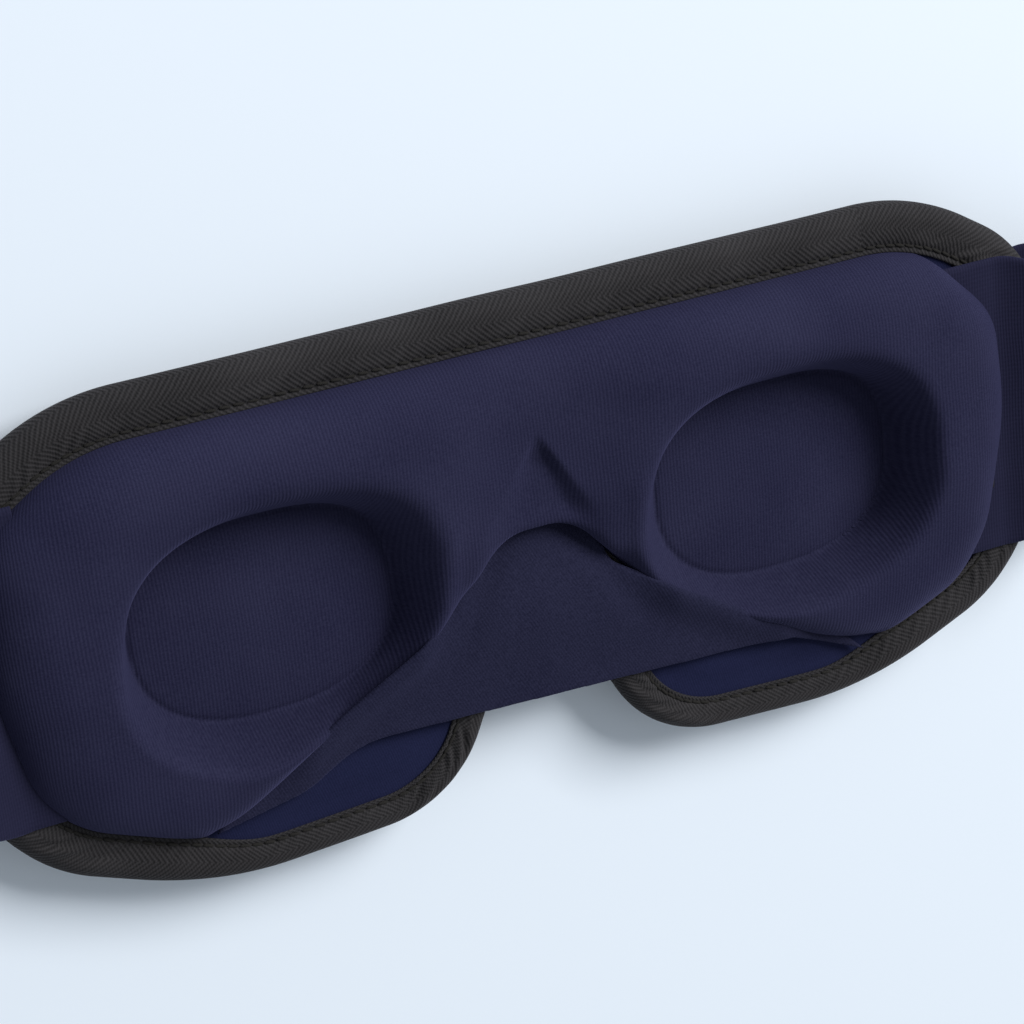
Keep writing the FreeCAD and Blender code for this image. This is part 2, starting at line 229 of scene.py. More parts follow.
def make_mesh(name, points, faces, uvs=None, flat_ends=0):
    """Object from points in millimetres, smooth except for its last flat_ends faces.

    uvs are in millimetres too, one per point or one per face corner; without them x and y serve.
    """
    points = np.asarray(points, float)
    mesh = bpy.data.meshes.new(name)
    mesh.from_pydata((points * MM).tolist(), [], faces if isinstance(faces, list) else faces.tolist())
    layer = mesh.uv_layers.new(name="cloth")
    corners = np.zeros(len(mesh.loops), np.int32)
    mesh.loops.foreach_get("vertex_index", corners)
    flat = points[:, :2] if uvs is None else uvs
    per_corner = flat[corners] if len(flat) == len(points) else flat
    layer.data.foreach_set("uv", per_corner.astype(np.float32).ravel())
    mesh.polygons.foreach_set("use_smooth", [True] * (len(faces) - flat_ends) + [False] * flat_ends)
    mesh.update()
    made = bpy.data.objects.new(name, mesh)
    bpy.context.scene.collection.objects.link(made)
    return made


def finish_piece(piece, slot, body=None, nodes=()):
    """Gives a piece its finish, hides the CAD nodes that it stands for and hangs it on the body that it rides
    on.
    """
    piece.data.materials.append(MATERIALS[slot])
    if nodes:
        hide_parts(*nodes)
    if body:
        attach(piece, body)
    return piece


def lattice_faces(rows, columns, wrap_rows=False):
    """Quads of a rows by columns grid, which closes on itself across its columns and may across its rows."""
    i = np.arange(rows if wrap_rows else rows - 1)[:, None]
    j = np.arange(columns)[None, :]
    i2, j2 = (i + 1) % rows, (j + 1) % columns
    corners = [i * columns + j, i2 * columns + j, i2 * columns + j2, i * columns + j2]
    return np.stack(corners, -1).reshape(-1, 4)


def end_caps(rows, columns):
    """The two faces that close the ends of a tube of rows by columns points."""
    last = (rows - 1) * columns
    return [list(range(columns))[::-1], list(range(last, last + columns))]


def rolled_slab(name, span, step, inside, edge, top, bottom, seam=None):
    """Closed soft piece over the region where inside(x, y) is positive.

    edge gives, at each place, how far the rounded edge reaches in and the angle that it starts from; top and
    bottom give the two faces' heights from x, y and the roll, which is 1 on the face and less at the rim.
    seam is the first or last row of places where the piece goes on in its neighbour instead of rounding off.
    """
    x, y = np.meshgrid(np.arange(span[0], span[1], step), np.arange(span[2], span[3], step), indexing="ij")
    depth = inside(x, y)
    slope_x, slope_y = np.gradient(depth, step)
    length = np.maximum(np.hypot(slope_x, slope_y), 1e-6)
    reach, start = edge(x, y)
    run = reach * (math.pi / 2 - start)
    along = depth + run - reach
    kept = np.minimum.reduce([along[:-1, :-1], along[1:, :-1], along[1:, 1:], along[:-1, 1:]]) > -step / 2
    touching = np.zeros(x.shape, int)
    for di, dj in ((0, 0), (1, 0), (1, 1), (0, 1)):
        touching[di:di + kept.shape[0], dj:dj + kept.shape[1]] += kept
    if seam is not None:
        touching[seam] *= 2
    along = np.where(touching < 4, 0.0, np.clip(along, 0, None))
    angle = start + np.clip(along / run, 0, 1) * (math.pi / 2 - start)
    wanted = np.where(along < run, reach * (1 - np.cos(angle)), depth)
    moved_x = x + slope_x / length * (wanted - depth)
    moved_y = y + slope_y / length * (wanted - depth)
    roll = np.sin(angle)
    high = top(moved_x, moved_y, roll)
    low = bottom(moved_x, moved_y, roll, high)

    used = touching > 0
    number = np.cumsum(used.ravel()).reshape(x.shape) - 1
    count = int(used.sum())
    quads = np.stack([number[:-1, :-1], number[1:, :-1], number[1:, 1:], number[:-1, 1:]], -1)[kept]
    walls = rim_edges(kept, number)
    side = np.stack([walls[:, 1], walls[:, 0], walls[:, 0] + count, walls[:, 1] + count], -1)
    points = [np.stack([moved_x[used], moved_y[used], face[used]], -1) for face in (high, low)]
    faces = np.concatenate([quads, quads[:, ::-1] + count, side])
    flat = np.stack([x[used], y[used]], -1)
    made = make_mesh(name, np.concatenate(points), faces, np.concatenate([flat, flat]))
    weld(made, turn_out=False)
    if seam is not None:
        sharpen_seam(made, x[seam][0])
    return made


def rim_edges(kept, number):
    """Grid edges with a kept cell on one side only, in the order that the kept cell goes round them."""
    padded = np.pad(kept, 1)
    found = []
    cell = padded[1:-1, 1:-1]
    for neighbour, first, second in ((padded[1:-1, :-2], (0, 0), (1, 0)), (padded[2:, 1:-1], (1, 0), (1, 1)),
                                     (padded[1:-1, 2:], (1, 1), (0, 1)), (padded[:-2, 1:-1], (0, 1), (0, 0))):
        i, j = np.nonzero(cell & ~neighbour)
        found.append(np.stack([number[i + first[0], j + first[1]], number[i + second[0], j + second[1]]], -1))
    return np.concatenate(found)


def sharpen_seam(piece, place):
    """Sharp edges along x = place, so that the piece and its neighbour shade as one face."""
    at_seam = [abs(vertex.co.x - place * MM) < 1e-5 for vertex in piece.data.vertices]
    for line in piece.data.edges:
        line.use_edge_sharp = bool(at_seam[line.vertices[0]] and at_seam[line.vertices[1]])


def even_slab(name, span, step, inside, thickness, middle, seam=None, pile=0.0):
    """Rolled slab of one thickness about its middle surface, with a half-round edge and a pile on top."""
    rim = thickness / 2

    def edge(x, y):
        return np.full(x.shape, rim), np.zeros(x.shape)

    def top(x, y, roll):
        unevenness = pile * ripples(x, y, 2.2, 31) if pile else 0.0
        return middle(x, y) + rim * roll + unevenness * roll

    def bottom(x, y, roll, high):
        return middle(x, y) - rim * roll

    return rolled_slab(name, span, step, inside, edge, top, bottom, seam)


def weld(piece, distance=0.002, turn_out=True):
    """Merge points that lie within the distance of each other and drop what is left without a face."""
    work = bmesh.new()
    work.from_mesh(piece.data)
    bmesh.ops.remove_doubles(work, verts=work.verts, dist=distance * MM)
    bmesh.ops.dissolve_degenerate(work, edges=work.edges, dist=1e-7)
    if turn_out:
        bmesh.ops.recalc_face_normals(work, faces=work.faces)
    work.to_mesh(piece.data)
    work.free()


# ---------------------------------------------------------------- materials

def add(tree, kind, settings=None, **inputs):
    """New shader node; inputs are sockets to link or plain values, with _ for a space in a socket's name."""
    made = tree.nodes.new("ShaderNode" + kind)
    for key, value in (settings or {}).items():
        setattr(made, key, value)
    for key, value in inputs.items():
        socket = made.inputs[int(key[1:])] if key[1:].isdigit() else made.inputs[key.replace("_", " ")]
        if isinstance(value, bpy.types.NodeSocket):
            tree.links.new(value, socket)
        else:
            socket.default_value = value
    return made


def calc(tree, operation, a, b=0.0):
    return add(tree, "Math", {"operation": operation}, i0=a, i1=b).outputs[0]


def weighted(tree, a, share_a, b, share_b):
    return calc(tree, "ADD", calc(tree, "MULTIPLY", a, share_a), calc(tree, "MULTIPLY", b, share_b))


def noise(tree, vector, scale, detail, roughness):
    made = add(tree, "TexNoise", Vector=vector, Scale=scale, Detail=detail, Roughness=roughness)
    return made.outputs["Fac"]


def wave(tree, value, pitch):
    """Ribs one pitch apart: 0 in the groove and 1 on the rib."""
    turned = calc(tree, "MULTIPLY", value, 2 * math.pi / pitch)
    return calc(tree, "ADD", calc(tree, "MULTIPLY", calc(tree, "SINE", turned), 0.5), 0.5)


def cloth_axes(tree, wander=0.0, wander_scale=0.05):
    """The piece's own flat coordinates in millimetres: vector, along and across, a little out of true."""
    vector = add(tree, "UVMap", {"uv_map": "cloth"}).outputs[0]
    if wander:
        shift = add(tree, "TexNoise", Vector=vector, Scale=wander_scale, Detail=1.0).outputs["Color"]
        centred = add(tree, "VectorMath", {"operation": "SUBTRACT"}, i0=shift, i1=(0.5, 0.5, 0.5)).outputs[0]
        pulled = add(tree, "VectorMath", {"operation": "SCALE"}, i0=centred, Scale=wander).outputs[0]
        vector = add(tree, "VectorMath", {"operation": "ADD"}, i0=vector, i1=pulled).outputs[0]
    split = add(tree, "SeparateXYZ", Vector=vector)
    return vector, split.outputs[0], split.outputs[1]


def cloth(name, dark, light, pattern, relief, roughness, sheen, contrast=0.6, heather=0.5):
    """Cloth from a pattern that gives a height from 0 to 1; fibres and slow shade changes are added to it.

    relief is the bump's depth in millimetres, contrast is how much of the pattern shows as shade, and
    heather is how much the single fibres differ.
    """
    material = bpy.data.materials.new(name)
    material.use_nodes = True
    tree = material.node_tree
    shader = tree.nodes["Principled BSDF"]
    height, vector = pattern(tree)
    fibre = noise(tree, vector, scale=2.6, detail=4.0, roughness=0.75)
    slow = noise(tree, vector, scale=0.045, detail=2.0, roughness=0.5)
    worn = calc(tree, "MULTIPLY", calc(tree, "SUBTRACT", slow, 0.5), 0.7)
    speckle = calc(tree, "MULTIPLY", calc(tree, "SUBTRACT", fibre, 0.5), heather * 2.2)
    share = calc(tree, "MULTIPLY", calc(tree, "SUBTRACT", height, 0.5), contrast)
    share = calc(tree, "ADD", calc(tree, "ADD", share, 0.5), calc(tree, "ADD", speckle, worn))
    blend = add(tree, "Mix", {"data_type": "RGBA", "clamp_factor": True}, i0=share)
    blend.inputs[6].default_value = (*dark, 1)
    blend.inputs[7].default_value = (*light, 1)
    tree.links.new(blend.outputs[2], shader.inputs["Base Color"])
    rough = calc(tree, "ADD", calc(tree, "MULTIPLY", fibre, 0.16), roughness - 0.08)
    tree.links.new(rough, shader.inputs["Roughness"])
    raised = calc(tree, "ADD", height, calc(tree, "MULTIPLY", fibre, 0.45))
    bump = add(tree, "Bump", Height=raised, Strength=0.75, Distance=relief * MM)
    tree.links.new(bump.outputs[0], shader.inputs["Normal"])
    shader.inputs["Specular IOR Level"].default_value = 0.08
    shader.inputs["Sheen Weight"].default_value = sheen
    shader.inputs["Sheen Roughness"].default_value = 0.45
    shader.inputs["Sheen Tint"].default_value = (*[min(1.0, c * 9) for c in light], 1)
    return material


def ribs(pitch, cross_pitch, cross=0.3):
    """Wales that run along Y, with the stitch courses across them."""
    def pattern(tree):
        vector, along, across = cloth_axes(tree, wander=1.2)
        wales = wave(tree, along, pitch)
        courses = wave(tree, across, cross_pitch)
        return weighted(tree, wales, 1 - cross, courses, cross), vector
    return pattern


def bias_ribs(pitch, slant):
    """Fine jersey cut on the bias."""
    def pattern(tree):
        vector, along, across = cloth_axes(tree, wander=2.0)
        diagonal = calc(tree, "ADD", along, calc(tree, "MULTIPLY", across, slant))
        other = calc(tree, "SUBTRACT", across, calc(tree, "MULTIPLY", along, slant))
        return weighted(tree, wave(tree, diagonal, pitch), 0.7, wave(tree, other, pitch * 1.3), 0.3), vector
    return pattern


def herringbone(pitch, band):
    """Twill lines that change direction from one band to the next across the tape."""
    def pattern(tree):
        vector, along, across = cloth_axes(tree, wander=0.25, wander_scale=0.4)
        zigzag = add(tree, "Math", {"operation": "PINGPONG"}, i0=across, i1=band).outputs[0]
        twill = wave(tree, calc(tree, "ADD", along, zigzag), pitch)
        picks = wave(tree, calc(tree, "SUBTRACT", calc(tree, "MULTIPLY", along, 1.9), zigzag), pitch)
        return weighted(tree, twill, 0.75, picks, 0.25), vector
    return pattern


def speckled(scale):
    """Open cells or pile with no direction."""
    def pattern(tree):
        vector = cloth_axes(tree)[0]
        return add(tree, "TexVoronoi", Vector=vector, Scale=scale).outputs["Distance"], vector
    return pattern


CLOTHS = {
    "lining_knit": dict(dark=(0.0095, 0.0095, 0.030), light=(0.0275, 0.0275, 0.062),
                        pattern=ribs(0.68, 0.5, 0.12), relief=0.06, roughness=0.85, sheen=0.2,
                        contrast=0.34, heather=0.8),
    "herringbone_tape": dict(dark=(0.010, 0.0095, 0.0100), light=(0.045, 0.0425, 0.0450),
                             pattern=herringbone(1.15, 4.6), relief=0.16, roughness=0.9, sheen=0.15,
                             contrast=0.6, heather=0.5),
    "stitch_thread": dict(dark=(0.008, 0.008, 0.008), light=(0.030, 0.028, 0.026),
                          pattern=bias_ribs(0.35, 1.4), relief=0.06, roughness=0.75, sheen=0.2),
    "flap_jersey": dict(dark=(0.0090, 0.0095, 0.026), light=(0.0205, 0.0210, 0.048),
                        pattern=bias_ribs(0.62, 0.5), relief=0.05, roughness=0.9, sheen=0.25,
                        contrast=0.22, heather=1.5),
    "facing_jersey": dict(dark=(0.0075, 0.0095, 0.032), light=(0.0140, 0.0165, 0.050),
                          pattern=bias_ribs(0.5, 0.3), relief=0.04, roughness=0.9, sheen=0.25,
                          contrast=0.3, heather=1.0),
    "strap_elastic": dict(dark=(0.0085, 0.0085, 0.024), light=(0.0200, 0.0200, 0.047),
                          pattern=ribs(0.6, 0.9, 0.3), relief=0.06, roughness=0.85, sheen=0.2,
                          contrast=0.35, heather=0.45),
    "cover_knit": dict(dark=(0.015, 0.016, 0.038), light=(0.032, 0.033, 0.074),
                       pattern=ribs(0.55, 0.6), relief=0.08, roughness=0.85, sheen=0.25,
                       contrast=0.4, heather=0.4),
    "foam": dict(dark=(0.03, 0.03, 0.033), light=(0.07, 0.07, 0.075),
                 pattern=speckled(1.6), relief=0.3, roughness=0.95, sheen=0.0),
    "blackout_film": dict(dark=(0.005, 0.005, 0.006), light=(0.013, 0.013, 0.015),
                          pattern=ribs(0.4, 0.4, 0.5), relief=0.03, roughness=0.6, sheen=0.0),
    "hook_tape": dict(dark=(0.008, 0.008, 0.009), light=(0.018, 0.018, 0.021),
                      pattern=ribs(1.2, 1.2, 0.5), relief=0.1, roughness=0.45, sheen=0.0),
    "loop_tape": dict(dark=(0.008, 0.008, 0.011), light=(0.024, 0.024, 0.031),
                      pattern=speckled(1.1), relief=0.4, roughness=0.95, sheen=0.3),
}
MATERIALS = {slot: cloth(slot, **look) for slot, look in CLOTHS.items()}


# ---------------------------------------------------------------- panel layers

def build_panel():
    """Cover, foam, blackout layer and facing: nested sheets inside the tape, domed over both eyes."""
    lows = [cad(node)[0].z for node, *_ in LAYERS]
    highs = [cad(node)[1].z for node, *_ in LAYERS]
    floors = [highs[0] - (lows[1] - lows[0])] + highs[:-1]
    dome_depth = floors[0] - lows[0]
    for (node, name, slot, step), floor, high in zip(LAYERS, floors, highs):
        thickness = high - floor - LAYER_GAP
        pocket_puff = 0.45 if node == "inner_facing" else 0.0

        def inside(x, y):
            return depth_inside(PANEL_LOOP, x, y) - LAYER_INSET

        def middle(x, y):
            dome = 1 - ramp(cup_reach(x, y)[0], 0.5, 6.0)
            clear_of_tape = ramp(depth_inside(PANEL_LOOP, x, y), TAPE_WIDTH, TAPE_WIDTH + 4)
            puff = pocket_puff * ramp(-y, 24, 36) * clear_of_tape
            return floor + thickness / 2 - dome_depth * dome + puff

        sheet = even_slab(name, PANEL_SPAN, step, inside, thickness, middle)
        finish_piece(sheet, slot, "mask", [node])


# ---------------------------------------------------------------- contour pad

def arch_share(x, y, near, far):
    """1 round the nose arch, 0 away from it."""
    return 1 - ramp(np.hypot(x, (y + 2) / 1.1), near, far)


def pad_inside(x, y):
    """Distance inside the pad's outline: within the tape and clear of the cutaway below it."""
    end_gap = 3.4 * ramp(x, 86, 101)
    toe = 6.0 + 1.5 * ramp(x, 44, 58)
    in_tape = depth_inside(PANEL_LOOP, x, y) - PAD_INSET - end_gap
    return soft_min(in_tape, -depth_inside(CUTAWAY_LOOP, x, y), toe)


def pad_edge(x, y):
    """How far the pad's edge is round: tighter over the cutaway, and turned under round the nose arch."""
    over_cutaway = ramp(-y, 0, 14) * (1 - ramp(np.abs(x), 56, 78))
    reach = mix(12.5 - 5.0 * over_cutaway, 3.8, arch_share(x, y, 12, 20))
    return reach, -math.radians(55) * arch_share(x, y, 12, 19)


def nose_hollow(x, y):
    """Shallow triangular hollow above the nose arch, crisp on its right side and soft on its left."""
    below_top = HOLLOW_TOP_Y - y
    across = np.abs(x) / (HOLLOW_HALF_WIDTH * np.clip(below_top / 18.0, 0.02, 1.2))
    side = np.where(x > 0, 1 - ramp(across, 0.7, 1.3), 1 - ramp(across, 0.1, 1.7))
    return HOLLOW_DEPTH * side * ramp(below_top, 0, 7) * ramp(y, 1, 9)


def pad_outer(x, y, roll):
    """Outer form of the pad: a crest that is lower at the nose, the lower edge and the ends, rolled down."""
    right_of_nose = (1 - ramp(x, 13, 25)) * ramp(x, 0, 8) * ramp(-y, -12, 2)
    crest = PAD_CREST - 4.3 * bell(x, 20.0) - 1.6 * right_of_nose
    crest = crest - 2.8 * ramp(-y, 2, 30) - 1.2 * ramp(np.abs(x), 84, 100)
    crest = mix(crest, ARCH_CREST, arch_share(x, y, 8, 15)) - nose_hollow(x, y)
    base = mix(PANEL_TOP, ARCH_BASE, arch_share(x, y, 12, 18))
    return base + (crest - base) * roll


def cup_surface(x, y, reach, rho):
    """Slightly domed floor of an eye cup, a fine groove round it, and the wall that climbs away from it."""
    dx, dy = np.abs(x) - CUP_CENTRE[0], y - CUP_CENTRE[1]
    upright = np.abs(dy) / (np.hypot(dx, dy) + 1e-6)
    wall = mix(np.where(dx < 0, CUP_WALL_NOSE, CUP_WALL_TEMPLE),
               np.where(y > 0, CUP_WALL_BROW, CUP_WALL_CHEEK), upright ** 2)
    climb = np.clip(reach / wall, 0, 1.4)
    rightward = x - np.sign(x) * CUP_CENTRE[0]
    gentle = ramp(-(rightward + dy) / (np.hypot(rightward, dy) + 1e-6), 0.5, 1.2)
    rise = np.where(climb < 1, 1 - (1 - np.minimum(climb, 1)) ** mix(1.9, 1.2, gentle), climb)
    slope = CUP_FLOOR + (PAD_CREST + 2.5 - CUP_FLOOR) * rise
    floor = CUP_FLOOR + 1.0 * (1 - np.minimum(rho, 1) ** 2)
    return np.where(rho < 1, floor, slope) - 0.45 * bell(reach, 0.6)


def pad_height(x, y, roll):
    reach, rho = cup_reach(x, y)
    unevenness = np.where(rho < 1, 0.0, 0.12) * ripples(x, y, 16, 3)
    return soft_min(pad_outer(x, y, roll), cup_surface(x, y, reach, rho), 3.2) + unevenness * roll


def build_pad():
    def bottom(x, y, roll, high):
        return np.minimum(PANEL_TOP + 0.05, high - 0.6)

    span = (-112.0, 112.0, -48.0, 48.0)
    pad = rolled_slab("contour_pad", span, 0.55, pad_inside, pad_edge, pad_height, bottom)
    finish_piece(pad, "lining_knit", "mask", ["contour_lining", "contour_foam"])


# ---------------------------------------------------------------- binding tape

def run_length(points):
    """Distance along a line of points up to each one."""
    return np.concatenate([[0], np.cumsum(np.hypot(*np.diff(points, axis=0).T))])


def resampled(loop, pitch):
    """Points evenly spaced round a closed polygon, with unit tangents and normals that point inside."""
    closed = np.vstack([loop, loop[:1]])
    length = run_length(closed)
    count = int(length[-1] / pitch)
    places = np.linspace(0, length[-1], count, endpoint=False)
    points = np.stack([np.interp(places, length, closed[:, k]) for k in (0, 1)], -1)
    tangent = np.roll(points, -2, axis=0) - np.roll(points, 2, axis=0)
    tangent /= np.linalg.norm(tangent, axis=1)[:, None]
    inward = np.stack([tangent[:, 1], -tangent[:, 0]], -1)
    return points, tangent, inward, places, length[-1]


def tape_section():
    """Folded tape in section, as inset and height from the middle, and how many points face outward."""
    top = [(d, TAPE_HALF) for d in np.linspace(TAPE_WIDTH, TAPE_FOLD, 22)]
    fold = [(TAPE_FOLD - TAPE_FOLD * math.sin(a), TAPE_HALF * math.cos(a))
            for a in np.linspace(0, math.pi, 19)[1:-1]]
    under = [(d, -TAPE_HALF) for d in np.linspace(TAPE_FOLD, TAPE_WIDTH, 14)]
    outside = np.array(top + fold + under)
    lip = TAPE_THICKNESS / 2
    inner_half = TAPE_HALF - TAPE_THICKNESS
    back = [(TAPE_WIDTH + 0.25, lip - TAPE_HALF), (TAPE_WIDTH, -inner_half), (TAPE_FOLD, -inner_half),
            (TAPE_THICKNESS, 0.0), (TAPE_FOLD, inner_half), (TAPE_WIDTH, inner_half),
            (TAPE_WIDTH + 0.25, TAPE_HALF - lip)]
    return np.vstack([outside, back]), len(outside)


def tape_lift(places, inset, curve):
    """How far the tape's faces stand proud: puffed between edge and stitches, pulled in at each stitch."""
    u, d = places[:, None], inset[None, :]
    puff = 0.55 * np.sin(np.pi * np.clip((d - 0.6) / (STITCH_INSET - 0.6), 0, 1)) ** 0.8
    pull = 0.32 * bell(d, 0.7, STITCH_INSET)
    diagonal = u + 1.1 * (d - STITCH_INSET)
    gathers = np.sin(2 * np.pi * diagonal / 2.9) * 0.6 + ripples(diagonal, 0.4 * d, 4.2, 5)
    pleats = ripples(u + 1.6 * d, 0.0, 5.5, 8) * curve[:, None]
    return puff - pull + 0.22 * bell(d, 1.9, 6.4) * gathers + 0.42 * bell(d, 3.0, 5.0) * pleats


def tape_share(points):
    """How much of its full width the tape shows: less on the two lobes, which have a finer edge."""
    return 1 - 0.26 * ramp(-points[:, 1], 20, 34) * (1 - ramp(np.abs(points[:, 0]), 58, 78))


def bend_share(tangent, inward):
    """0 where the outline is straight and 1 where it bends, averaged over a short way on either side."""
    bend = np.abs(np.sum(np.roll(tangent, -12, axis=0) * inward, axis=1))
    averaged = np.convolve(np.tile(bend, 3), np.ones(25) / 25, "same")[len(bend):2 * len(bend)]
    return ramp(averaged, 0.05, 0.22)


def build_tape():
    points, tangent, inward, places, perimeter = resampled(PANEL_LOOP, 0.45)
    section, facing_out = tape_section()
    lift = tape_lift(places, section[:, 0], bend_share(tangent, inward))
    lift_share = np.clip(np.abs(section[:, 1]) / 2.8, 0, 1) ** 2 * np.sign(section[:, 1])
    lift_share[facing_out:] = 0.0
    wander = 0.05 * ripples(places, 0.0, 30, 4)
    inset = section[None, :, 0] * tape_share(points)[:, None] + wander[:, None]
    rows = np.empty((len(points), len(section), 3))
    rows[..., :2] = points[:, None, :] + inward[:, None, :] * inset[..., None]
    rows[..., 2] = TAPE_MIDDLE_Z + section[None, :, 1] + lift * lift_share[None, :]
    across = run_length(section)
    u = np.append(places, perimeter)
    v = np.append(across, across[-1] + 0.5)
    i, j = np.divmod(np.arange(len(points) * len(section)), len(section))
    corner_u = np.stack([u[i], u[i + 1], u[i + 1], u[i]], -1)
    corner_v = np.stack([v[j], v[j], v[j + 1], v[j + 1]], -1)
    faces = lattice_faces(len(points), len(section), wrap_rows=True)
    uvs = np.stack([corner_u.ravel(), corner_v.ravel()], -1)
    tape = make_mesh("edge_tape", rows.reshape(-1, 3), faces, uvs)
    finish_piece(tape, "herringbone_tape", "mask", ["binding_tape"])


def stitch_row(name, centres, directions, ups, length, width, height):
    """Row of short rounded stitches, each a small closed bead along its direction."""
    around, stations = 6, np.linspace(-1, 1, 7)
    bead = []
    for station in stations:
        fat = math.sqrt(max(0.0, 1 - station ** 4)) + 0.02
        for angle in 2 * math.pi * np.arange(around) / around:
            bead.append((station * length / 2, width / 2 * fat * math.cos(angle),
                         height / 2 * fat * math.sin(angle)))
    bead = np.array(bead)
    side = np.cross(ups, directions)
    points = (centres[:, None, :] + directions[:, None, :] * bead[None, :, :1]
              + side[:, None, :] * bead[None, :, 1:2] + ups[:, None, :] * bead[None, :, 2:])
    shifts = (np.arange(len(centres)) * len(bead))[:, None, None]
    walls = lattice_faces(len(stations), around)[None] + shifts
    ends = np.array(end_caps(len(stations), around))[None] + shifts
    faces = walls.reshape(-1, 4).tolist() + ends.reshape(-1, around).tolist()
    row = make_mesh(name, points.reshape(-1, 3), faces, np.tile(bead[:, :2], (len(centres), 1)))
    weld(row, 0.0005)
    return row


def build_tape_stitches():
    """The binding's stitch row on the wearer's side, and the one on the front."""
    points, tangent, inward, *_ = resampled(PANEL_LOOP, STITCH_PITCH)
    seat = points + inward * STITCH_INSET * tape_share(points)[:, None]
    direction = np.column_stack([tangent + inward * STITCH_SLANT, np.zeros(len(seat))])
    direction /= np.linalg.norm(direction, axis=1)[:, None]
    for name, node, face in (("stitches_inner", "binding_seam_inner", 1),
                             ("stitches_outer", "binding_seam_outer", -1)):
        height = TAPE_MIDDLE_Z + face * (TAPE_HALF - STITCH_SINK)
        centres = np.column_stack([seat, np.full(len(seat), height)])
        ups = np.tile((0.0, 0.0, float(face)), (len(seat), 1))
        row = stitch_row(name, centres, direction, ups, length=2.3, width=0.62, height=0.5)
        finish_piece(row, "stitch_thread", "mask", [node])


# ---------------------------------------------------------------- nose flap

def flap_inside(x, y):
    """Distance inside the flap: above its fold, and a little way in under the pad's margin."""
    return soft_min(depth_inside(CUTAWAY_LOOP, x, y) + FLAP_TUCK, depth_inside(FLAP_LOOP, x, y), 1.0)


def flap_height(x, y):
    """Middle surface of the flap: tucked under the arch, nearly flat over the notch, resting on the lobes."""
    far = np.abs(x)
    down = (6.0 - y) / 35.0
    free = 12.3 + 2.6 * ramp(down, 0.08, 0.48) - 1.1 * ramp(down, 0.5, 1.0)
    lobe = cad("flap_wing_right")[0].z + 0.8 + 0.8 * ramp(44 - far, 0, 24)
    beside_arch = ramp(far, 18, 27) * (1 - ramp(far, 47, 58))
    at_pad = bell(np.clip(depth_inside(CUTAWAY_LOOP, x, y), -2, 20), 4.5, -1.5)
    crease = bell(far + 0.55 * (y + 12), 3.2, 15.5) * ramp(y, -26, -10)
    height = mix(free, lobe, ramp(far, 12, 46)) + 2.6 * beside_arch * at_pad
    return height - 0.7 * crease + 0.10 * ripples(far, y, 19, 21)


def build_flap():
    """The flap as two halves of one cloth, which meet along a seam at the nose."""
    step = 0.45
    halves = (("nose_flap_right", 1, (0.0, 76.0), 0, ["flap_wing_right", "nose_flap"]),
              ("nose_flap_left", -1, (-76.05, step / 2), -1, ["flap_wing_left"]))
    for name, side, reach, seam, nodes in halves:
        flap = even_slab(name, (*reach, -44.0, 12.0), step, flap_inside, FLAP_THICKNESS, flap_height, seam)
        finish_piece(flap, "flap_jersey", None, nodes)
        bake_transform(flap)


# ---------------------------------------------------------------- straps

def ribbon(name, path, widths):
    """Closed strap along a path of x, z points, with rounded edges; widths has one value per point."""
    columns = 48
    tangent = np.gradient(path, axis=0)
    tangent /= np.linalg.norm(tangent, axis=1)[:, None]
    normal = np.stack([-tangent[:, 1], tangent[:, 0]], -1)
    if normal[0, 1] < 0:
        normal = -normal
    spread = -np.cos(np.linspace(0, math.pi, columns))
    rim = STRAP_THICKNESS / 2
    around = np.concatenate([spread, spread[::-1][1:-1]])
    sign = np.concatenate([np.ones(columns), -np.ones(columns - 2)])
    half = widths[:, None] / 2
    across = around[None, :] * half
    inset = half - np.abs(across)
    fall = np.sqrt(np.clip(1 - (1 - np.clip(inset / (rim * 1.6), 0, 1)) ** 2, 0, 1))
    offset = sign[None, :] * rim * fall
    points = np.empty((len(path), len(around), 3))
    points[..., 0] = path[:, None, 0] + normal[:, None, 0] * offset
    points[..., 1] = STRAP_Y + across
    points[..., 2] = path[:, None, 1] + normal[:, None, 1] * offset
    faces = lattice_faces(len(path), len(around)).tolist() + end_caps(len(path), len(around))
    uvs = np.stack([np.repeat(run_length(path), len(around)), across.ravel()], -1)
    strap = make_mesh(name, points.reshape(-1, 3), faces, uvs, flat_ends=2)
    weld(strap, 0.0005)
    return strap


def root_path(tuck):
    """Strap end over the tape to the hump, from tuck millimetres further under the pad than in the CAD."""
    start = cad("strap_root_right")[0]
    x = np.linspace(start.x - tuck, HUMP_X, 56)
    low = start.z + STRAP_THICKNESS / 2
    rise = ramp(x, start.x + 2.0, HUMP_X)
    return np.stack([x, low + (HUMP_Z - low) * rise], -1)


def band_path(tip_x):
    """From the hump round the U bend, then flat on the table to the strap's tip."""
    radius = (HUMP_Z - BAND_Z) / 2
    turn = np.linspace(0, math.pi, 49)
    bend = np.stack([HUMP_X + radius * np.sin(turn), BAND_Z + radius + radius * np.cos(turn)], -1)
    x = np.linspace(HUMP_X, tip_x, 90)[1:]
    return np.vstack([bend, np.stack([x, np.full(len(x), BAND_Z)], -1)])


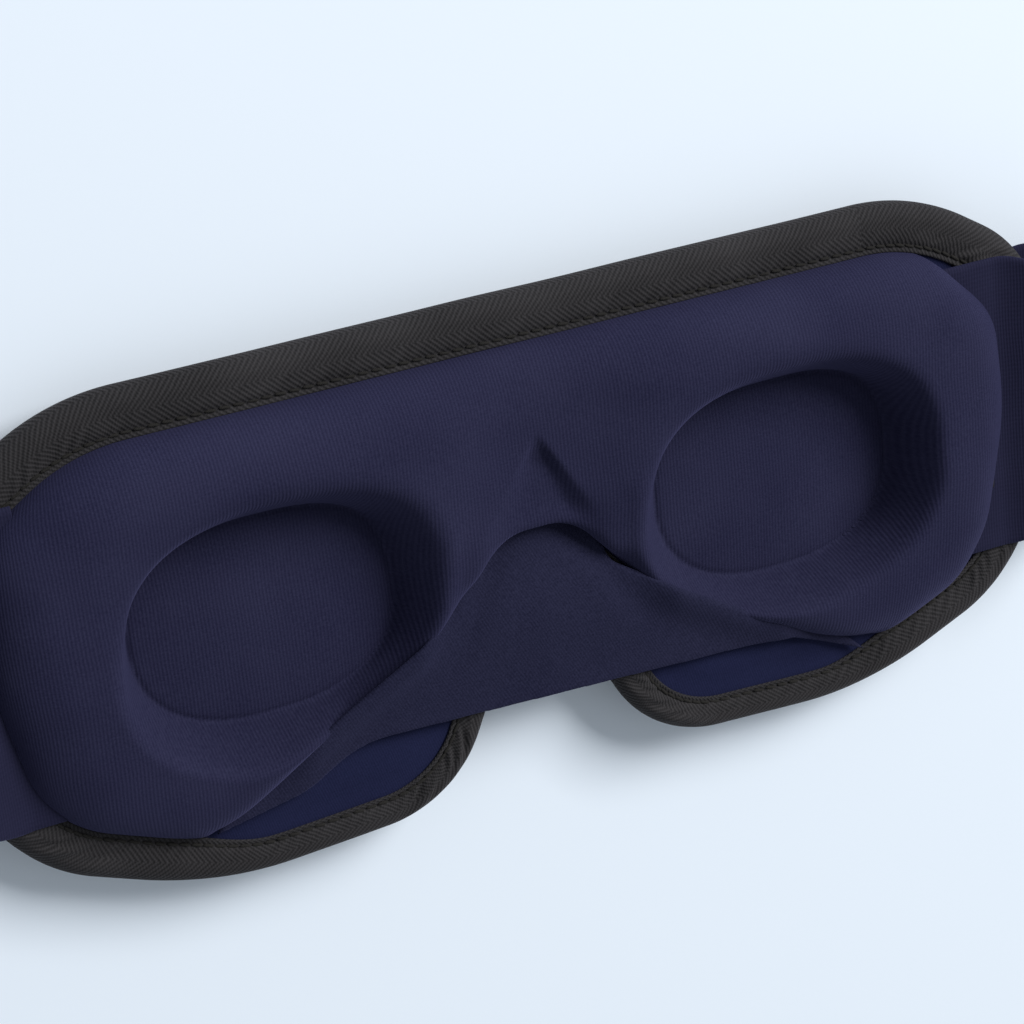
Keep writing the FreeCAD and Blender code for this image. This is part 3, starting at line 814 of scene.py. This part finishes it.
def build_straps():
    """Each strap as two pieces that meet on the hump: the sewn end, and the folded length to the tip."""
    root_low, root_high = cad("strap_root_right")
    band_width = cad("strap_bend_right")[1].y - cad("strap_bend_right")[0].y
    for side, word, tuck in ((1, "right", 10.0), (-1, "left", 3.0)):
        turn = np.array((side, 1.0))
        path = root_path(tuck)
        widths = mix(root_high.y - root_low.y, band_width, ramp(path[:, 0], root_low.x + 4, HUMP_X))
        root = ribbon("strap_anchor_" + word, path * turn, widths)
        finish_piece(root, "strap_elastic", "mask", ["strap_root_" + word])

        low, high = cad("strap_band_" + word)
        tip = low.x if side > 0 else high.x
        path = band_path(side * tip)
        way_down = np.clip((HUMP_X - path[:, 0]) / (HUMP_X - side * tip), 0, 1)
        band = ribbon("strap_length_" + word, path * turn, mix(band_width, STRAP_TIP_WIDTH, way_down))
        finish_piece(band, "strap_elastic", None, ["strap_bend_" + word, "strap_band_" + word])
        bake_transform(band)


# ---------------------------------------------------------------- strap ends

def flat_slab(name, corners, low, high, step=0.7, pile=0.0):
    """Flat piece with rounded corners and edges, between two heights."""
    loop = rounded_loop(corners)
    xs, ys = [c[0] for c in corners], [c[1] for c in corners]
    span = (min(xs) - 2, max(xs) + 2, min(ys) - 2, max(ys) + 2)

    def inside(x, y):
        return depth_inside(loop, x, y)

    def middle(x, y):
        return (low + high) / 2

    return even_slab(name, span, step, inside, high - low, middle, pile=pile)


def box_corners(node, radius, end=None):
    """Corners of a CAD node's box from above, each with the rounding radius; end replaces its far x."""
    low, high = cad(node)
    far = high.x if end is None else end
    return [(low.x, high.y, radius), (far, high.y, radius), (far, low.y, radius), (low.x, low.y, radius)]


def curls(name, xs, ys, seat, rise, bend, thick):
    """Field of little bent fibres: hooks where bend is under a half turn, loops where it is a half turn."""
    stations, around = 6, 4
    turn = np.linspace(0, bend, stations)
    radius = abs(rise) / 2
    height = rise * np.sin(np.minimum(turn, math.pi))
    line = np.stack([radius * (1 - np.cos(turn)), np.zeros(stations), height], -1)
    corners = np.arange(around) * math.pi / 2 + math.pi / 4
    ring = np.array([(0, math.cos(a), math.sin(a)) for a in corners]) * thick / 2
    curl = (line[:, None, :] + ring[None, :, :]).reshape(-1, 3)
    grid_x, grid_y = (g.ravel() for g in np.meshgrid(xs, ys, indexing="ij"))
    count = len(grid_x)
    facing = RNG.uniform(-0.5, 0.5, count) + math.pi * (np.arange(count) % 2)
    c, s = np.cos(facing)[:, None], np.sin(facing)[:, None]
    points = np.empty((count, len(curl), 3))
    points[..., 0] = grid_x[:, None] + curl[None, :, 0] * c - curl[None, :, 1] * s
    points[..., 1] = grid_y[:, None] + curl[None, :, 0] * s + curl[None, :, 1] * c
    points[..., 2] = seat + curl[None, :, 2]
    shifts = (np.arange(count) * len(curl))[:, None, None]
    faces = lattice_faces(stations, around)[None] + shifts
    return make_mesh(name, points.reshape(-1, 3), faces.reshape(-1, 4))


def cross_stitches(name, x, y_low, y_high, z):
    """Row of stitches across a strap."""
    places = np.arange(y_low, y_high, 2.4)
    centres = np.column_stack([np.full(len(places), x), places, np.full(len(places), z)])
    direction = np.tile((0.08, 0.997, 0.0), (len(places), 1))
    up = np.tile((0.0, 0.0, 1.0), (len(places), 1))
    return stitch_row(name, centres, direction, up, length=2.0, width=0.55, height=0.45)


def joined(pieces):
    """One object from several."""
    with bpy.context.temp_override(active_object=pieces[0], selected_editable_objects=pieces):
        bpy.ops.object.join()
    return pieces[0]


def build_hook_tab():
    """Stiff tab at the right strap's tip, with hooks that face the table."""
    low, high = cad("hook_tab")
    seam_end = cad("hook_tab_seam")[1].x
    corners = box_corners("hook_tab", 4.0, end=seam_end)
    backing = flat_slab("hook_backing", corners, low.z + 0.45, high.z + 0.15)
    finish_piece(backing, "hook_tape", "strap_right", ["hook_tab"])
    hooks = curls("hooks", np.arange(low.x + 2.5, high.x - 1, CURL_PITCH),
                  np.arange(low.y + 2.5, high.y - 2, CURL_PITCH), low.z + 0.5, -0.42, 2.4, 0.2)
    finish_piece(hooks, "hook_tape", "strap_right")


def build_loop_patch():
    """Soft patch on the left strap, with loops that face up."""
    low, high = cad("loop_patch")
    patch = flat_slab("loop_backing", box_corners("loop_patch", 4.0), low.z + 0.25, high.z - 0.3, 0.6, 0.12)
    finish_piece(patch, "loop_tape", "strap_left", ["loop_patch"])
    loops = curls("loops", np.arange(low.x + 2, high.x - 1, CURL_PITCH),
                  np.arange(low.y + 2, high.y - 1, CURL_PITCH), high.z - 0.45, 0.5, math.pi, 0.16)
    finish_piece(loops, "loop_tape", "strap_left")


def build_tip_hem():
    """Folded hem at the left strap's tip, and its row of stitches."""
    low, high = cad("strap_end_hem")
    hem = flat_slab("tip_hem", box_corners("strap_end_hem", 0.6), low.z + 0.2, high.z + 0.5, 0.5, 0.04)
    finish_piece(hem, "strap_elastic", "strap_left", ["strap_end_hem"])
    row = cross_stitches("hem_stitches", low.x + 1.2, low.y + 2, high.y - 1, high.z + 0.55)
    finish_piece(row, "stitch_thread", "strap_left")


def build_tab_seam():
    """Two rows of stitches that hold the hook tab."""
    low, high = cad("hook_tab_seam")
    rows = [cross_stitches("tab_stitches", x, low.y + 2, high.y - 1, high.z - 0.2)
            for x in (low.x + 1.2, high.x - 1.5)]
    finish_piece(joined(rows), "stitch_thread", "strap_right", ["hook_tab_seam"])


def build_anchor_seams():
    """A row of stitches through each strap's sewn end, just under the pad."""
    for side, word in ((1, "right"), (-1, "left")):
        low, high = cad("strap_seam_" + word)
        near = side * (min(abs(low.x), abs(high.x)) + 0.3)
        row = cross_stitches("anchor_stitches_" + word, near, low.y + 1, high.y, high.z + STRAP_THICKNESS)
        finish_piece(row, "stitch_thread", "mask", ["strap_seam_" + word])


# ---------------------------------------------------------------- stage

def build_table():
    corners = np.array([(-1, -1, 0), (1, -1, 0), (1, 1, 0), (-1, 1, 0)]) * FLOOR_HALF / MM
    table = make_mesh("table_top", corners, [(0, 1, 2, 3)])
    paint = bpy.data.materials.new("table_paint")
    paint.use_nodes = True
    shader = paint.node_tree.nodes["Principled BSDF"]
    shader.inputs["Base Color"].default_value = (0.80, 0.87, 0.95, 1)
    shader.inputs["Roughness"].default_value = 0.7
    shader.inputs["Specular IOR Level"].default_value = 0.2
    table.data.materials.append(paint)


def build_light():
    """Soft window-like key light from the brow side, in a pale room."""
    room = bpy.data.worlds.new("studio")
    room.use_nodes = True
    background = room.node_tree.nodes["Background"]
    background.inputs["Color"].default_value = ROOM_COLOUR
    background.inputs["Strength"].default_value = ROOM_POWER
    bpy.context.scene.world = room
    lamp = bpy.data.lights.new("key", "AREA")
    lamp.size = KEY_WIDTH
    lamp.energy = KEY_POWER
    holder = bpy.data.objects.new("key", lamp)
    holder.location = KEY_PLACE
    holder.rotation_mode = "QUATERNION"
    holder.rotation_quaternion = Vector(KEY_PLACE).to_track_quat("Z", "Y")
    bpy.context.scene.collection.objects.link(holder)


def build_camera():
    lens = bpy.data.cameras.new("view")
    lens.sensor_width = 36.0
    lens.lens = LENS_MM
    lens.clip_start = 0.01
    camera = bpy.data.objects.new("view", lens)
    azimuth, elevation, roll = (math.radians(angle) for angle in CAMERA_ANGLES)
    back = Vector((math.sin(azimuth) * math.cos(elevation), -math.cos(azimuth) * math.cos(elevation),
                   math.sin(elevation)))
    level = (-back).cross(Vector((0, 0, 1))).normalized()
    upright = level.cross(-back)
    right = level * math.cos(roll) + upright * math.sin(roll)
    up = upright * math.cos(roll) - level * math.sin(roll)
    turned = Matrix((right, up, back)).transposed().to_4x4()
    camera.matrix_world = Matrix.Translation(CAMERA_TARGET + back * CAMERA_DISTANCE) @ turned
    bpy.context.scene.collection.objects.link(camera)
    bpy.context.scene.camera = camera
    bpy.context.scene.view_settings.view_transform = "Standard"


build_table()
build_light()
build_camera()
build_panel()
build_pad()
build_tape()
build_tape_stitches()
build_flap()
build_straps()
build_hook_tab()
build_loop_patch()
build_tip_hem()
build_tab_seam()
build_anchor_seams()
